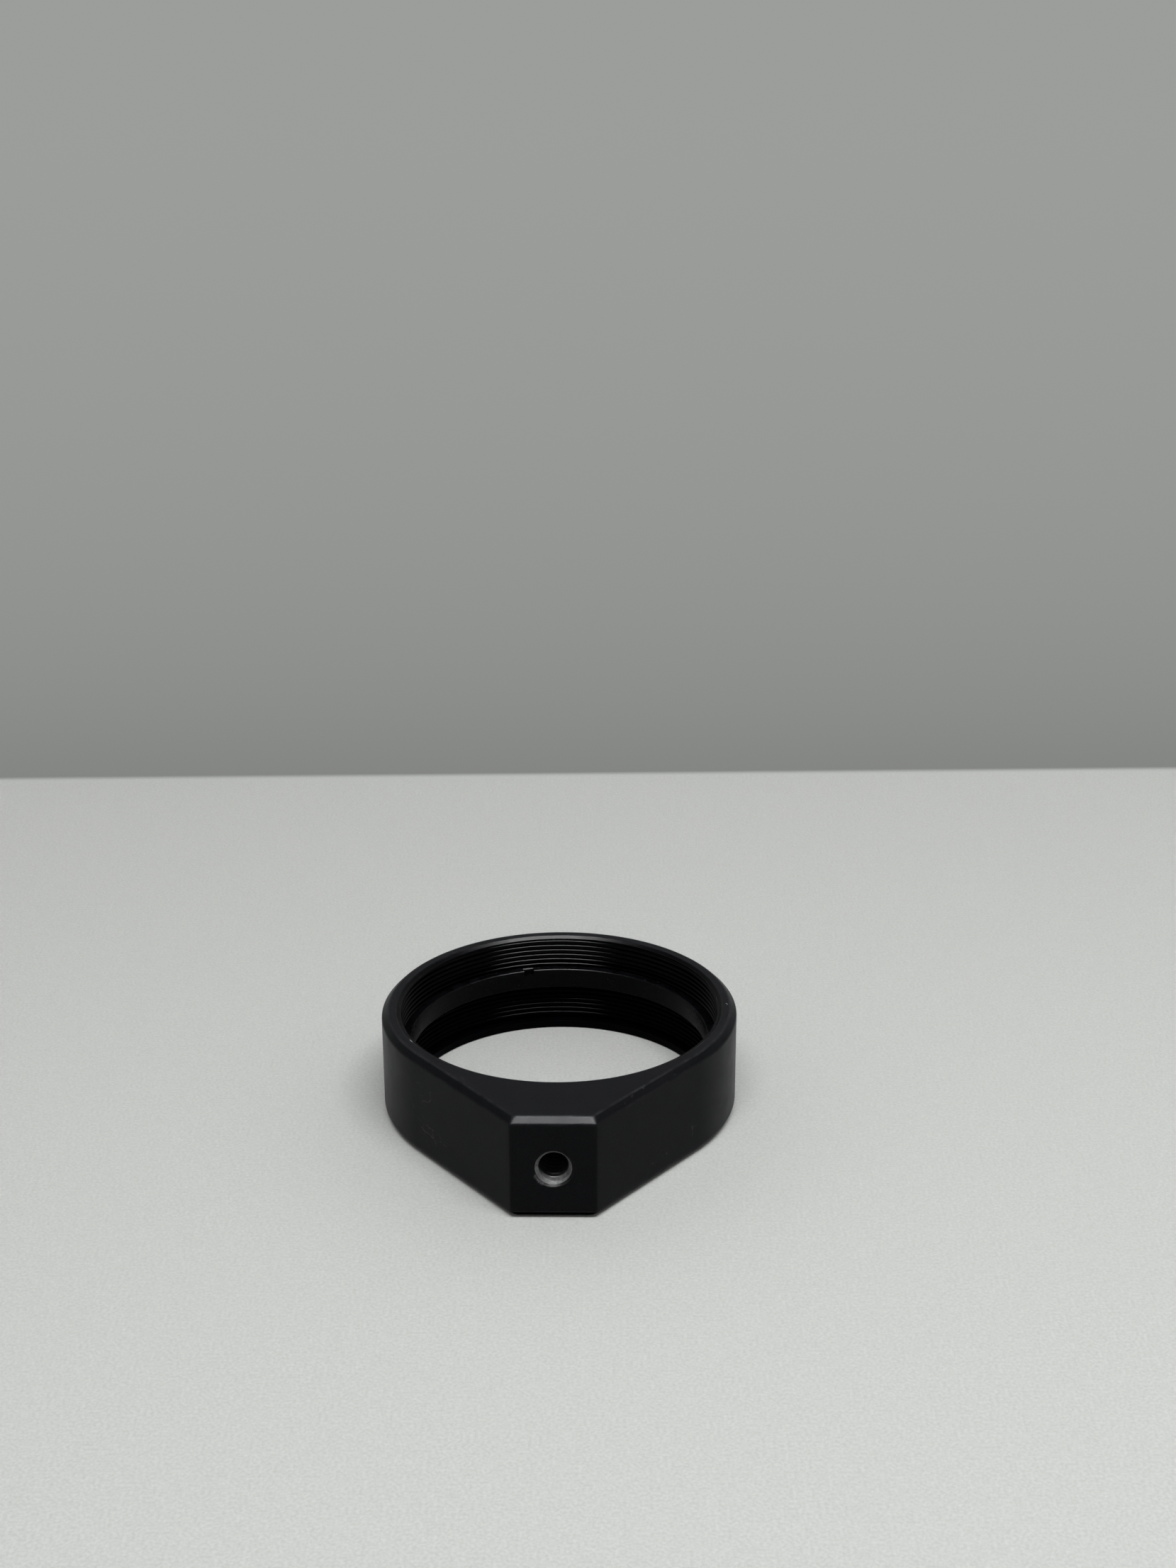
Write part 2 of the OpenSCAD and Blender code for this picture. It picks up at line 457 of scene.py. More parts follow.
def cut_thread_tree():
    """The Cut Thread node group: moves a plain wall's points onto a screw thread."""
    tree = bpy.data.node_groups.new("Cut Thread", "GeometryNodeTree")
    for way in ("INPUT", "OUTPUT"):
        tree.interface.new_socket(name="Geometry", in_out=way, socket_type="NodeSocketGeometry")
    add_inputs(
        tree,
        ("Axis Point", VECTOR, (0, 0, 0), "Where the thread's axis starts"),
        ("Axis Turn", VECTOR, (0, 0, 0), "Turns the thread's axis onto Z"),
        ("Pitch", FLOAT, 0.001, "From one turn to the next"),
        ("Crest Radius", FLOAT, 0.01, "Radius of the thread's crests"),
        ("Root Radius", FLOAT, 0.01, "Radius of the thread's roots"),
        ("Crest Flat", FLOAT, 0.0, "Half the width of the flat crests"),
        ("Crest Rounding", FLOAT, 0.0001, "Radius of the crests' edges"),
        ("Flank Angle", FLOAT, FLANK, "From a flank to the plane across the axis"),
        ("Start", FLOAT, 0.0, "Where the thread starts, in turns"),
        ("From", FLOAT, 0.0, "Where the cut starts along the axis"),
        ("To", FLOAT, 1.0, "Where the cut ends along the axis"),
        ("Inside", "NodeSocketBool", True, "Cut into a bore, or else round a shaft"),
        ("Material", "NodeSocketMaterial", None, "Finish of the piece"),
    )

    n = Nodes(tree)
    given = n.add("NodeGroupInput").outputs
    place = n.add("GeometryNodeInputPosition").outputs[0]
    offset = n.vector("SUBTRACT", place, given["Axis Point"])
    spin = ("Rotation", given["Axis Turn"])
    turned = n.add(
        "ShaderNodeVectorRotate", [("Vector", offset), spin], rotation_type="EULER_XYZ"
    ).outputs[0]
    x, y, z = n.split(turned)
    radius = n.distance(x, y)
    round_share = n.over(n.math("ARCTAN2", y, x), TURN)
    climbed = n.minus(n.over(z, given["Pitch"]), round_share)
    along = n.math("FRACT", n.minus(climbed, given["Start"]))

    # Along the axis from the edge of the nearest crest's flat
    off_crest = n.minus(0.5, n.math("ABSOLUTE", n.minus(along, 0.5)))
    from_crest = n.times(off_crest, given["Pitch"])
    run = n.larger(n.minus(from_crest, given["Crest Flat"]), 0.0)

    # First the round of the crest's edge, then the flank that goes on from it to the root
    bend = given["Crest Rounding"]
    square = n.minus(n.times(bend, bend), n.times(run, run))
    arc = n.minus(bend, n.math("SQRT", n.larger(square, 0.0)))
    arc_end = n.times(bend, n.math("COSINE", given["Flank Angle"]))
    arc_rise = n.minus(1.0, n.math("SINE", given["Flank Angle"]))
    slope = n.math("TANGENT", given["Flank Angle"])
    flank = n.over(n.minus(run, arc_end), slope)
    flank = n.plus(n.times(bend, arc_rise), flank)
    on_flank = n.math("GREATER_THAN", run, arc_end)
    depth = n.plus(arc, n.times(on_flank, n.minus(flank, arc)))
    rise = n.minus(given["Root Radius"], given["Crest Radius"])
    depth = n.smaller(depth, n.math("ABSOLUTE", rise))
    tool = n.plus(given["Crest Radius"], n.times(n.math("SIGN", rise), depth))

    inside = n.larger(radius, tool)
    outside = n.smaller(radius, tool)
    either = [("Switch", given["Inside"]), ("False", outside), ("True", inside)]
    cut = n.add("GeometryNodeSwitch", either, input_type="FLOAT").outputs[0]
    scale = n.over(cut, n.larger(radius, 1e-9))
    parts = [("X", n.times(x, scale)), ("Y", n.times(y, scale)), ("Z", z)]
    moved = n.add("ShaderNodeCombineXYZ", parts).outputs[0]
    turned_back = n.add(
        "ShaderNodeVectorRotate", [("Vector", moved), spin], rotation_type="EULER_XYZ", invert=True
    ).outputs[0]
    new_place = n.vector("ADD", turned_back, given["Axis Point"])

    slack = 1e-7
    after_start = n.math("GREATER_THAN", z, n.minus(given["From"], slack))
    before_end = n.math("LESS_THAN", z, n.plus(given["To"], slack))
    reached = n.times(after_start, before_end)
    moves = [("Geometry", given["Geometry"]), ("Selection", reached), ("Position", new_place)]
    bored = n.add("GeometryNodeSetPosition", moves).outputs[0]
    real = n.add("GeometryNodeRealizeInstances", [(0, bored)]).outputs[0]
    finish = [("Geometry", real), ("Material", given["Material"])]
    n.add("NodeGroupOutput", [(0, n.add("GeometryNodeSetMaterial", finish).outputs[0])])
    return tree


def cut_thread(obj, name, screw, reach, material, point=ORIGIN, turn=ORIGIN):
    """Adds a Cut Thread modifier.

    The thread's axis starts at point and is brought onto Z by turn, and reach is where along it
    the thread begins and ends. A screw with roots further out than its crests is cut in a bore.
    """
    tree = bpy.data.node_groups.get("Cut Thread") or cut_thread_tree()
    modifier = obj.modifiers.new(name, "NODES")
    modifier.node_group = tree
    inputs = {
        "Axis Point": point,
        "Axis Turn": turn,
        "Pitch": screw.pitch,
        "Crest Radius": screw.crest,
        "Root Radius": screw.root,
        "Crest Flat": screw.flat,
        "Crest Rounding": screw.rounding,
        "Start": screw.start,
        "From": reach[0],
        "To": reach[1],
        "Inside": screw.root > screw.crest,
        "Material": material,
    }
    for item in tree.interface.items_tree:
        if item.in_out == "INPUT" and item.name in inputs:
            modifier[item.identifier] = inputs[item.name]


# Meshes -------------------------------------------------------------------------------------------

# Edges that turn by more than this stay sharp
SHARP = math.radians(32)
# Wear on the ring away from the stretch of its edge with a painted highlight, as a share of the
# wear there
LESS_WORN = 0.35


def plain_mesh(obj):
    """The evaluated object as a plain mesh without modifiers, doubles or inside-out faces."""
    depsgraph = bpy.context.evaluated_depsgraph_get()
    result = bpy.data.meshes.new_from_object(obj.evaluated_get(depsgraph))
    obj.modifiers.clear()
    old, name = obj.data, obj.data.name
    obj.data = result
    bpy.data.meshes.remove(old)
    result.name = name

    bm = bmesh.new()
    bm.from_mesh(result)
    bmesh.ops.remove_doubles(bm, verts=bm.verts, dist=2e-4 * MM)
    bmesh.ops.dissolve_degenerate(bm, edges=bm.edges, dist=1e-4 * MM)
    bmesh.ops.recalc_face_normals(bm, faces=bm.faces)
    open_edges = [edge for edge in bm.edges if len(edge.link_faces) != 2]
    if open_edges:
        raise RuntimeError(f"{obj.name} has {len(open_edges)} open or doubled edges")
    bm.to_mesh(result)
    bm.free()
    result.shade_smooth()
    result.set_sharp_from_angle(angle=SHARP)
    return obj


def new_piece(name, points, faces, wear):
    """A mesh object with the wear attribute that the finishes read."""
    mesh = bpy.data.meshes.new(name)
    mesh.from_pydata(points, [], list(faces))
    mesh.update()
    mesh.attributes.new("wear", "FLOAT", "POINT").data.foreach_set(
        "value", np.asarray(wear, np.float32)
    )
    obj = bpy.data.objects.new(name, mesh)
    bpy.context.scene.collection.objects.link(obj)
    return obj


def aim(turn):
    """The direction at that angle, anticlockwise from +X."""
    return Vector((math.cos(turn), math.sin(turn)))


class Outline:
    """The body's outline, seen along the axis, and every line a given distance inside it.

    A place on it is (kind, share): the round part, the two flanks, the two upright corners and
    the flat end of the foot, in the order in which they follow each other anticlockwise.
    """

    ROUND, LEFT_FLANK, LEFT_CORNER, FLAT, RIGHT_CORNER, RIGHT_FLANK = range(6)

    def __init__(self, sizes):
        self.radius, self.reach, self.bevel = sizes.diameter / 2, sizes.foot_reach, sizes.bevel
        self.rounding, self.mitre = sizes.foot_rounding, sizes.mitre_rounding
        corner = Vector((sizes.foot_width / 2, -self.reach))
        bearing = math.atan2(corner.x, -corner.y)
        self.turn = -math.pi / 2 + bearing + math.acos(self.radius / corner.length)
        # Columns on each kind of place
        counts = [176, 32, 8, 24, 8, 32]
        self.places = [(kind, k / count) for kind, count in enumerate(counts) for k in range(count)]
        self.flat = (sum(counts[:3]), sum(counts[:4]))
        around, foot = counts[0], sum(counts[1:])
        round_span = math.pi - 2 * self.turn
        foot_start, foot_span = math.pi - self.turn, TURN - round_span
        self.angles = [self.turn + round_span * k / around for k in range(around)]
        self.angles += [foot_start + foot_span * k / foot for k in range(foot)]

    def corner_radius(self, inset):
        """Radius of the foot's corners on that line, from the upright's to the mitre's."""
        return self.rounding + (self.mitre - self.rounding) * min(inset / self.bevel, 1.0)

    def centre(self, inset):
        """Centre of the right-hand corner's rounding."""
        inner = inset + self.corner_radius(inset)
        y = inner - self.reach
        x = (self.radius - inner - y * math.sin(self.turn)) / math.cos(self.turn)
        return Vector((x, y))

    def right_half(self, kind, part, inset):
        """A point of the right-hand half, part 0 where the kind starts at the round's side."""
        normal, rounding, centre = aim(self.turn), self.corner_radius(inset), self.centre(inset)
        if kind == self.RIGHT_FLANK:
            touch = normal * (self.radius - inset)
            end = centre + normal * rounding
            # Evenly spread as seen from the axis
            full = (end - touch).length
            across = math.atan2(full, self.radius - inset)
            run = math.tan(across * part) * (self.radius - inset)
            return touch + (end - touch) * (run / full)
        return centre + aim(self.turn + (-math.pi / 2 - self.turn) * part) * rounding

    def point(self, place, inset):
        """The point at that place on the line which lies inset inside the outline."""
        kind, part = place
        if kind == self.ROUND:
            return aim(self.turn + (math.pi - 2 * self.turn) * part) * (self.radius - inset)
        if kind == self.FLAT:
            half = self.centre(inset).x
            return Vector((-half + 2 * half * part, inset - self.reach))
        if kind > self.FLAT:
            return self.right_half(kind, 1 - part, inset)
        # A kind on the left mirrors the one that lies as far past the flat end
        mirrored = self.right_half(2 * self.FLAT - kind, part, inset)
        return Vector((-mirrored.x, mirrored.y))


def numbering(columns, rows, helical, turn_rows, first=0):
    """The function that numbers the points of columns which close on themselves.

    Past the last column, the helical rows come back one turn further on.
    """

    def index(column, row):
        row %= rows
        if column == columns:
            column = 0
            if row in helical:
                row = min(row + turn_rows, helical.stop - 1)
        return first + column * rows + row

    return index


def quad(index, column, row):
    """The face between a point and the next ones, round and along."""
    return tuple(index(column + c, row + r) for c, r in ((0, 0), (1, 0), (1, 1), (0, 1)))


def round_loop(angles, screw, reach, rows, place_row):
    """A closed section carried once round the axis.

    First come the helical rows of the screw over its reach, on a plain wall at its crests, then
    the plain rows. place_row(c, r, row) gives the point and the wear of plain row r in column c.
    Returns points, faces by (column, row), wear, the numbering and the count of helical rows.
    """
    heights = screw.heights(angles, *reach)
    helical = heights.shape[1]
    points, wear = [], []
    for c, turn in enumerate(angles):
        x, y = screw.crest * math.cos(turn), screw.crest * math.sin(turn)
        points += [(x, y, height) for height in heights[c]]
        wear += [0.0] * helical
        for r, row in enumerate(rows):
            point, worn = place_row(c, r, row)
            points.append(point)
            wear.append(worn)
    count, total = len(angles), helical + len(rows)
    index = numbering(count, total, range(helical), screw.turn_rows)
    faces = {(c, r): quad(index, c, r) for c in range(count) for r in range(total)}
    return points, faces, wear, index, helical


def body_rows(sizes, root):
    """The body's plain rows: from the thread's top, over the outside, back to its bottom.

    The mouth's cone runs in as far as the thread's roots, at the radius root.
    """
    top, reach = sizes.thickness, sizes.diameter / 2
    ease, small, fade, short_fade = sizes.edge_rounding, 0.04 * MM, 0.08 * MM, 0.06 * MM
    mouth, relief = sizes.mouth_diameter / 2, sizes.relief_diameter / 2
    lip, lip_top = sizes.lip_diameter / 2, sizes.lip_thickness
    relief_top = lip_top + sizes.relief_width
    bevel, rounding = sizes.bevel, sizes.foot_rounding
    side_gap, side_count = 0.35 * MM, 16
    side_low, side_high = bevel + side_gap, top - bevel - side_gap
    step = (side_low - side_high) / (side_count - 1)
    sides = [(Row(reach, side_high + step * k, OUTLINE),) for k in range(side_count)]

    def on_bevel(height, upward):
        """A row part-way up the bevel, which keeps the upright corners' rounding smooth."""
        return (Row(reach - rounding, height - upward * (bevel - rounding), OUTLINE),)

    corners = [
        (Row(root, top - (mouth - root)),),
        (Row(mouth, top), small, fade, 0.8),
        (Row(reach - bevel, top, OUTLINE), ease, fade, 1.2),
        on_bevel(top, 1),
        (Row(reach, top - bevel, OUTLINE), sizes.lower_rounding, fade, 0.5),
        *sides,
        (Row(reach, bevel, OUTLINE), ease, short_fade, 0.8),
        on_bevel(0.0, -1),
        (Row(reach - bevel, 0.0, OUTLINE), small, fade, 0.0),
        (Row(lip + sizes.lip_break, 0.0),),
        (Row(lip, sizes.lip_break),),
        (Row(lip, lip_top), small, short_fade, 0.3),
        (Row(relief, lip_top),),
        (Row(relief, relief_top),),
    ]
    rows = walk(corners)
    side_first = rows.index(sides[0][0])
    return rows, side_first, side_first + side_count - 1


def hole_points(rim, sizes, hole, screw, first):
    """The post hole, from the open rim in the foot's flat end to the tip of the drill's point.

    rim holds (angle about the hole's axis, point number) in order, and first is the number of the
    hole's first point. Depth runs inwards from the flat end. Returns points, faces and wear.
    """
    mouth, drill = hole.mouth_diameter / 2, screw.crest
    spread = math.tan(hole.mouth_angle / 2)
    ease, fade, rim_wear = 0.04 * MM, 0.06 * MM, 0.3
    outside, inside = Row(mouth + MM, 0.0), Row(mouth - spread * MM, MM)
    rim_rows = eased(outside, Row(mouth, 0.0), inside, ease, fade)
    angles = np.array([turn for turn, _ in rim])
    heights = screw.heights(angles, rim_rows[-1].height, hole.depth)
    radii = np.maximum(drill, mouth - heights * spread)
    plain, total = len(rim_rows), len(rim_rows) + heights.shape[1]
    points = []

    def put(radius, depth, turn):
        """A point at that radius, depth and angle of the hole."""
        down = sizes.thickness / 2 - radius * math.sin(turn)
        points.append((radius * math.cos(turn), depth - sizes.foot_reach, down))

    for turn, wall, depths in zip(angles, radii, heights):
        for row in rim_rows:
            put(row.out, row.height, turn)
        for radius, depth in zip(wall, depths):
            put(radius, depth, turn)
    put(0.0, hole.depth + drill / math.tan(hole.point_angle / 2), 0.0)
    wear = [row.wear * rim_wear for row in rim_rows] + [0.0] * heights.shape[1]

    count, tip = len(rim), first + len(points) - 1
    index = numbering(count, total, range(plain, total), screw.turn_rows, first)
    faces = []
    for c in range(count):
        faces.append((rim[c][1], rim[(c + 1) % count][1], index(c + 1, 0), index(c, 0)))
        faces += [quad(index, c, r) for r in range(total - 1)]
        faces.append((index(c, total - 1), index(c + 1, total - 1), tip))
    return points, faces, wear * count + [0.0]


def give_finish(body, material, wanted):
    """Gives the faces for which wanted(centre, normal) holds a finish of their own."""
    body.data.materials.append(material)
    last = len(body.data.materials) - 1
    for face in body.data.polygons:
        if wanted(face.center, face.normal):
            face.material_index = last


def make_body(sizes, thread, hole, material, deep_bore_shaded, underside):
    """The machined body, with its bore thread and its post hole."""
    outline = Outline(sizes)
    crest, root = thread.minor_diameter / 2, thread.major_diameter / 2
    screw = Screw(thread.pitch, crest, root, 0.0, thread.rounding, thread.start)
    rows, side_first, side_last = body_rows(sizes, root)
    angles = outline.angles
    reach = (sizes.lip_thickness + sizes.relief_width, rows[0].height)

    def place_row(column, _, row):
        """A circle's point lies on the column's angle, an outline's on the column's place."""
        if row.follows == OUTLINE:
            x, y = outline.point(outline.places[column], outline.radius - row.out)
        else:
            x, y = row.out * math.cos(angles[column]), row.out * math.sin(angles[column])
        return (x, y, row.height), row.wear

    points, faces, wear, index, plain = round_loop(angles, screw, reach, rows, place_row)

    # The flat end's plain side is left open and joined to the hole
    first, last = outline.flat
    upper, lower = plain + side_first, plain + side_last
    for c in range(first, last):
        for r in range(upper, lower):
            del faces[c, r]
    loop = [(c, r) for c in range(first, last + 1) for r in (upper, lower)]
    loop += [(c, r) for c in (first, last) for r in range(upper + 1, lower)]
    centre = sizes.thickness / 2
    rim = []
    for c, r in loop:
        x, _, z = points[index(c, r)]
        rim.append((math.atan2(centre - z, x) % TURN, index(c, r)))
    rim.sort()

    drill, tapped = hole.drill_diameter / 2, hole.major_diameter / 2
    tap = Screw(hole.pitch, drill, tapped, hole.crest_flat, hole.rounding, hole.start)
    more_points, more_faces, more_wear = hole_points(rim, sizes, hole, tap, len(points))
    faces = [*faces.values(), *more_faces]
    body = new_piece("MountBody", points + more_points, faces, wear + more_wear)
    cut_thread(body, "Bore thread", screw, reach, material)
    axis, turn = (0.0, -sizes.foot_reach, centre), (math.pi / 2, 0.0, 0.0)
    cut_thread(body, "Post hole thread", tap, (0.0, hole.depth), material, axis, turn)
    plain_mesh(body)
    bore, depth, downward = sizes.mouth_diameter / 2, sizes.shaded_deep_below, -0.3
    # Painted shade: deep in the bore, a copy of the finish that mirrors less
    give_finish(body, deep_bore_shaded, lambda at, _: at.z < depth and math.hypot(at.x, at.y) < bore)
    # Painted shade: round the back face, where the mount meets the table, a copy of the finish that
    # does not mirror
    give_finish(body, underside, lambda at, normal: at.z < sizes.bevel and normal.z < downward)
    return body


def ring_columns(ring):
    """The ring's columns: (angle, offset, whether it lies in a slot).

    A slot's columns keep to an offset from its middle line, and the others have none.
    """
    columns = []
    # The columns from one slot to the next, and the gap between them and a slot's edge
    plain, margin = 116, 0.35 * MM
    half = ring.slot_width / 2
    clear = math.asin((half + margin) / (ring.bore_diameter / 2))
    gap = math.pi - 2 * clear
    # A slot's edge has two columns, one outside the slot and one in it
    offsets = [-half, -half, -half * 0.5, 0.0, half * 0.5, half, half]
    for side in range(2):
        middle = ring.slot_turn + side * math.pi
        last = len(offsets) - 1
        columns += [(middle, offset, 0 < k < last) for k, offset in enumerate(offsets)]
        columns += [(middle + clear + gap * k / plain, None, False) for k in range(plain + 1)]
    return columns


def make_ring(ring, thread, material):
    """The threaded retaining ring, with its two spanner slots."""
    low, high = ring.height, ring.height + ring.thickness
    inner = ring.bore_diameter / 2
    # The crests are cut off, and stop short of the bore's roots
    cut_off = 0.04 * MM
    crest = thread.major_diameter / 2 - thread.clearance - cut_off
    root = thread.minor_diameter / 2 - thread.clearance
    slot_end, floor = inner + ring.slot_reach, high - ring.slot_depth
    edge, lead_foot = ring.edge_break, crest - ring.lead
    small, fade, least = 0.03 * MM, 0.04 * MM, 0.02 * MM
    # A row on the front face, between the slots' ends and the bore
    between = inner + 0.45 * MM

    corners = [
        (Row(lead_foot, high), small, fade, 0.0),
        (Row(slot_end, high),),
        (Row(between, high),),
        (Row(inner + edge, high), least, least, 0.9),
        (Row(inner, high - edge), least, least, 1.2),
        (Row(inner, floor),),
        (Row(inner, (low + floor) / 2),),
        (Row(inner, low + edge), small, fade, 0.4),
        (Row(inner + edge, low), small, fade, 0.2),
        (Row(lead_foot, low), small, fade, 0.0),
    ]
    rows = walk(corners)
    end_row, floor_row = (rows.index(corners[k][0]) for k in (1, 5))

    # Inside a slot, the rows between its end and the bore wall run down the end wall, then in
    # along the floor
    end = slot_end - ring.slot_bevel
    wall = [
        (slot_end, high, 0.3),
        (slot_end - ring.slot_bevel * 0.5, high - ring.slot_bevel * 0.5, 0.3),
        (end, high - ring.slot_bevel, 0.3),
        (end, (high - ring.slot_bevel + floor) / 2, 0.0),
        (end, floor, 0.0),
    ]
    along = floor_row + 1 - end_row - len(wall)
    wall += [(end + (inner - end) * (k + 1) / along, floor, 0.0) for k in range(along)]
    slotted = [Row(out, height, CIRCLE, wear) for out, height, wear in wall]

    columns = ring_columns(ring)
    angles = [
        turn if offset is None else turn + math.asin(offset / lead_foot)
        for turn, offset, _ in columns
    ]
    # Half a turn on from the bore's thread, so that the ring's crests stand in its grooves
    start, flat, rounding = thread.start + 0.5, thread.ring_flat, thread.ring_rounding
    screw = Screw(thread.pitch, crest, root, flat, rounding, start)
    reach = (low + ring.lead, high - ring.lead)

    def place_row(column, r, row):
        """A slot's point keeps to its offset. Away from the painted highlight there is less wear.
        """
        turn, offset, in_slot = columns[column]
        if in_slot and end_row <= r <= floor_row:
            row = slotted[r - end_row]
        worn = row.wear
        # Painted highlight: in the stretch where the light glints on the ring's edge, the full wear
        # is painted
        if not (in_slot or ring.glint_from < turn < ring.glint_to):
            worn *= LESS_WORN
        if offset is not None:
            turn += math.asin(offset / min(row.out, slot_end))
            # At a slot's edge only what lies inside the slot is worn
            worn *= in_slot
        return (row.out * math.cos(turn), row.out * math.sin(turn), row.height), worn

    points, faces, wear, *_ = round_loop(angles, screw, reach, rows, place_row)
    piece = new_piece("RetainingRing", points, faces.values(), wear)
    cut_thread(piece, "Ring thread", screw, reach, material)
    return plain_mesh(piece)


# Finishes -----------------------------------------------------------------------------------------


def new_material(name):
    """A material of one shader and its output: the material, its nodes and the shader."""
    material = bpy.data.materials.new(name)
    material.use_nodes = True
    tree = material.node_tree
    tree.nodes.clear()
    n = Nodes(tree)
    shader = n.add("ShaderNodeBsdfPrincipled")
    n.add("ShaderNodeOutputMaterial", [("Surface", shader.outputs[0])])
    return material, n, shader


# Marks on the body: width, strength, then the places that the mark runs through. Widths and
# places are in millimetres.
SCUFFS = (
    (0.11, 0.30, (-14.50, -16.37, 9.44), (-14.53, -16.33, 8.49), (-14.82, -15.98, 7.92)),
    (0.11, 0.28, (-14.82, -15.98, 7.92), (-15.56, -15.07, 7.65), (-15.62, -15.00, 7.19)),
    (0.10, 0.18, (-17.22, -13.03, 9.28), (-16.95, -13.37, 8.81)),
    (0.10, 0.16, (-16.47, -13.97, 9.47), (-15.91, -14.65, 9.61), (-15.60, -15.03, 9.26)),
    (0.10, 0.12, (-18.35, -11.37, 9.60), (-17.78, -12.25, 9.52)),
    (0.10, 0.14, (-15.96, -14.59, 8.08), (-15.40, -15.27, 8.37)),
    (0.10, 0.14, (-17.37, -12.82, 7.57), (-17.20, -13.05, 7.13)),
    (0.10, 0.18, (-16.86, -13.49, 6.15), (-16.78, -13.59, 5.83)),
    (0.10, 0.20, (-15.62, -15.00, 5.78), (-15.46, -15.20, 5.14)),
    (0.10, 0.18, (-17.19, -13.07, 4.88), (-17.05, -13.24, 4.69)),
    (0.10, 0.22, (-16.44, -14.01, 4.93), (-15.89, -14.67, 4.65)),
    (0.10, 0.22, (-15.48, -15.17, 4.56), (-15.69, -14.92, 3.85), (-15.37, -15.30, 3.59)),
    (0.12, 0.32, (-15.24, -15.46, 4.72), (-14.79, -16.01, 4.57), (-14.34, -16.57, 4.46)),
    (0.12, 0.30, (-15.82, -14.76, 3.94), (-15.00, -15.75, 3.57)),
    (0.12, 0.28, (-14.82, -15.98, 3.70), (-13.92, -17.08, 3.20)),
    (0.11, 0.26, (-14.44, -16.44, 4.16), (-14.28, -16.64, 3.33), (-13.98, -17.00, 2.69)),
    (0.10, 0.20, (-13.45, -17.65, 3.63), (-13.00, -18.20, 3.67), (-12.64, -18.64, 3.65)),
    (0.10, 0.16, (-13.70, -17.35, 4.49), (-13.35, -17.78, 4.17)),
    (0.10, 0.14, (-15.41, -15.25, 2.33), (-14.87, -15.91, 1.96)),
    (0.10, 0.38, (15.91, -14.64, 4.10), (15.89, -14.67, 2.79)),
    (0.10, 0.18, (15.92, -14.64, 3.81), (16.43, -14.01, 3.93)),
    (0.10, 0.60, (12.82, -18.42, 2.76), (12.84, -18.40, 2.60)),
    (0.10, 0.35, (11.12, -20.49, 2.50), (11.28, -20.29, 2.56)),
    (0.09, 0.30, (8.49, -23.70, 4.70), (8.53, -23.65, 4.62)),
    (0.09, 0.30, (5.16, -27.77, 6.68), (5.19, -27.72, 6.60)),
    (0.11, 0.50, (7.91, -23.93, 12.24), (7.91, -23.85, 12.29)),
    (0.11, 0.25, (8.63, -22.70, 12.47), (8.79, -22.44, 12.50)),
    (0.11, 0.22, (10.00, -20.88, 12.56), (10.17, -20.47, 12.69)),
    (0.11, 0.25, (13.62, -17.10, 12.15), (13.79, -16.83, 12.19)),
    (0.30, 0.08, (-10.65, -18.78, 12.70), (-10.30, -19.78, 12.70)),
    (0.30, 0.50, (-1.98, -28.12, 5.30), (-1.70, -28.12, 4.85), (-1.25, -28.12, 4.45)),
    (0.20, 0.15, (-1.15, -28.14, 4.40), (-0.40, -28.14, 4.14)),
)
NICKS = (
    (0.17, 0.9, (-17.28, -9.58, 12.66), (-17.07, -9.96, 12.66)),
    (0.08, 0.35, (20.33, 0.26, 12.70), (20.50, -0.04, 12.70)),
)
# Bare metal in the nicks
NICKED = (0.62, 0.64, 0.66)


def stroke_tree():
    """The Stroke node group: 1 on a straight line from Start to End, 0 a width away from it."""
    tree = bpy.data.node_groups.new("Stroke", "ShaderNodeTree")
    tree.interface.new_socket(name="Mask", in_out="OUTPUT", socket_type="NodeSocketFloat")
    add_inputs(
        tree,
        ("Place", VECTOR, (0, 0, 0), "Where the surface is"),
        ("Start", VECTOR, (0, 0, 0), "Where the line starts"),
        ("End", VECTOR, (0, 0, 0), "Where the line ends"),
        ("Width", FLOAT, 0.0001, "How far from the line the mark fades out"),
    )
    n = Nodes(tree)
    given = n.add("NodeGroupInput").outputs
    offset = n.vector("SUBTRACT", given["Place"], given["Start"])
    line = n.vector("SUBTRACT", given["End"], given["Start"])
    reach = n.vector("DOT_PRODUCT", line, line)
    along = n.over(n.vector("DOT_PRODUCT", offset, line), reach, clamp=True)
    away = n.over(n.vector("DISTANCE", offset, n.scaled(line, along)), given["Width"])
    n.add("NodeGroupOutput", [(0, n.ramp(away, 0.35, 1.0, 1.0, 0.0, smooth=True))])
    return tree


def marks_mask(n, place, marks):
    """Where the marks are, each as strong as its strength."""
    tree = bpy.data.node_groups.get("Stroke") or stroke_tree()
    mask = 0.0
    for width, strength, *places in marks:
        ends = [tuple(value * MM for value in spot) for spot in places]
        for start, end in zip(ends, ends[1:]):
            inputs = [("Place", place), ("Start", start), ("End", end), ("Width", width * MM)]
            stroke = n.add("ShaderNodeGroup", inputs, node_tree=tree).outputs[0]
            mask = n.larger(mask, n.times(stroke, strength))
    return mask


